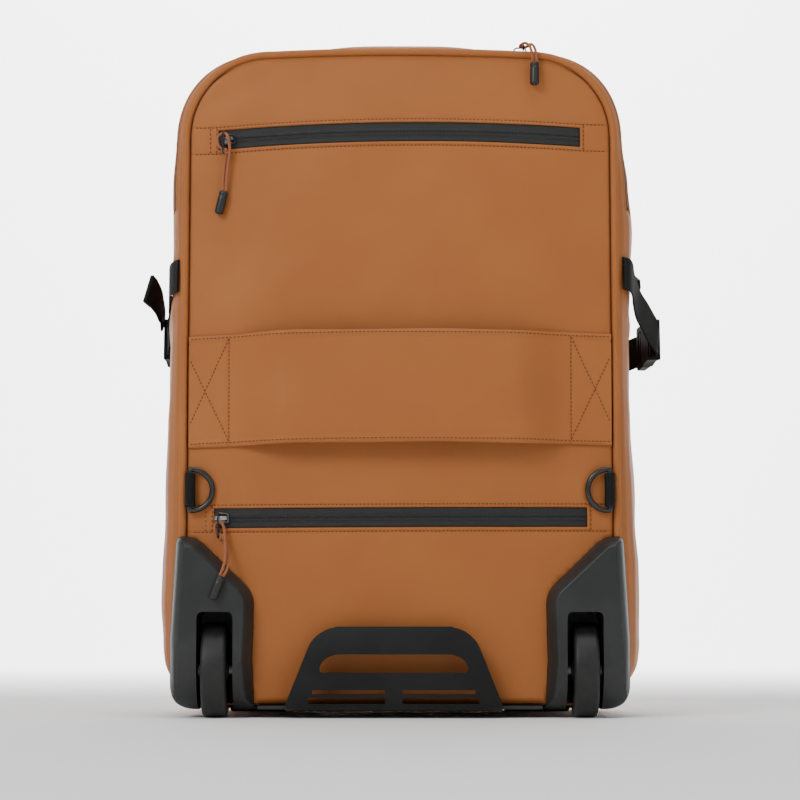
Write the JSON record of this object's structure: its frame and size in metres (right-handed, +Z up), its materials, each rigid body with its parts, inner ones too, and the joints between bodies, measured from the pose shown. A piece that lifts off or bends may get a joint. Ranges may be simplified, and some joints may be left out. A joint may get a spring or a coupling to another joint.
{
  "type": "wheeled backpack",
  "caption": "Upright wheeled backpack of tan coated cloth, seen from the worn side, with a luggage sleeve, zips, side straps, D-rings and a moulded bottom handle.",
  "frame": {"origin": "on the floor, under the middle of the bounding box, with the wheels and front feet on it", "axes": "+Z up, -Y the side worn against the back, +X to the right seen from that side"},
  "size_m": [0.3987, 0.2452, 0.51],
  "materials": {
    "tan_cloth": "satin coated cloth",
    "zip_tape": "matt coil tape",
    "slider": "dark satin metal",
    "black_wire": "gloss black",
    "pull_cord": "braided",
    "cord_end": "satin",
    "moulded": "fine matt texture",
    "tyre": "smooth",
    "hub": "satin",
    "axle": "satin",
    "webbing": "flat weave",
    "buckle": "satin"
  },
  "bodies": {
    "bag": {"back_panel": "tan_cloth", "gusset": "tan_cloth", "front_panel": "tan_cloth", "piping_back": "tan_cloth", "piping_front": "tan_cloth", "luggage_sleeve": "tan_cloth", "zip_upper_tape": "zip_tape", "zip_lower_tape": "zip_tape", "zip_main_tape": "zip_tape", "zip_upper_slider": "slider", "zip_lower_slider": "slider", "zip_main_slider": "slider", "zip_upper_link": "black_wire", "zip_lower_link": "black_wire", "zip_main_link": "black_wire", "zip_upper_cord": "pull_cord", "zip_lower_cord": "pull_cord", "zip_main_cord": "pull_cord", "zip_upper_cord_end": "cord_end", "zip_lower_cord_end": "cord_end", "zip_main_cord_end": "cord_end", "wheel_housing_left": "moulded", "wheel_housing_right": "moulded", "bottom_handle": "moulded", "base_plate": "moulded", "front_foot_left": "moulded", "front_foot_right": "moulded", "wheel_axle_left": "axle", "wheel_axle_right": "axle", "d_ring_loop_left": "webbing", "d_ring_loop_right": "webbing", "side_strap_rear_left": "webbing", "side_strap_rear_right": "webbing", "side_strap_front_left": "webbing", "side_strap_front_right": "webbing", "side_strap_tail_left": "webbing", "side_strap_tail_right": "webbing", "buckle_socket_left": "buckle", "buckle_socket_right": "buckle", "buckle_plug_left": "buckle", "buckle_plug_right": "buckle"},
    "wheel_left": {"wheel_tyre_left": "tyre", "wheel_hub_left": "hub"},
    "wheel_right": {"wheel_tyre_right": "tyre", "wheel_hub_right": "hub"},
    "d_ring_left": {"d_ring_left": "black_wire"},
    "d_ring_right": {"d_ring_right": "black_wire"}
  },
  "joints": [
    {"name": "wheel_left_spin", "type": "hinge", "parent": "bag", "child": "wheel_left", "pos_m": [-0.137, -0.085, 0.035], "axis": [1, 0, 0], "continuous": true},
    {"name": "wheel_right_spin", "type": "hinge", "parent": "bag", "child": "wheel_right", "pos_m": [0.137, -0.085, 0.035], "axis": [1, 0, 0], "continuous": true},
    {"name": "d_ring_left_swing", "type": "hinge", "parent": "bag", "child": "d_ring_left", "pos_m": [-0.1555, -0.09849, 0.168], "axis": [0, 0, 1], "range_deg": [-150, 0]},
    {"name": "d_ring_right_swing", "type": "hinge", "parent": "bag", "child": "d_ring_right", "pos_m": [0.1555, -0.09849, 0.168], "axis": [0, 0, 1], "range_deg": [0, 150]}
  ]
}
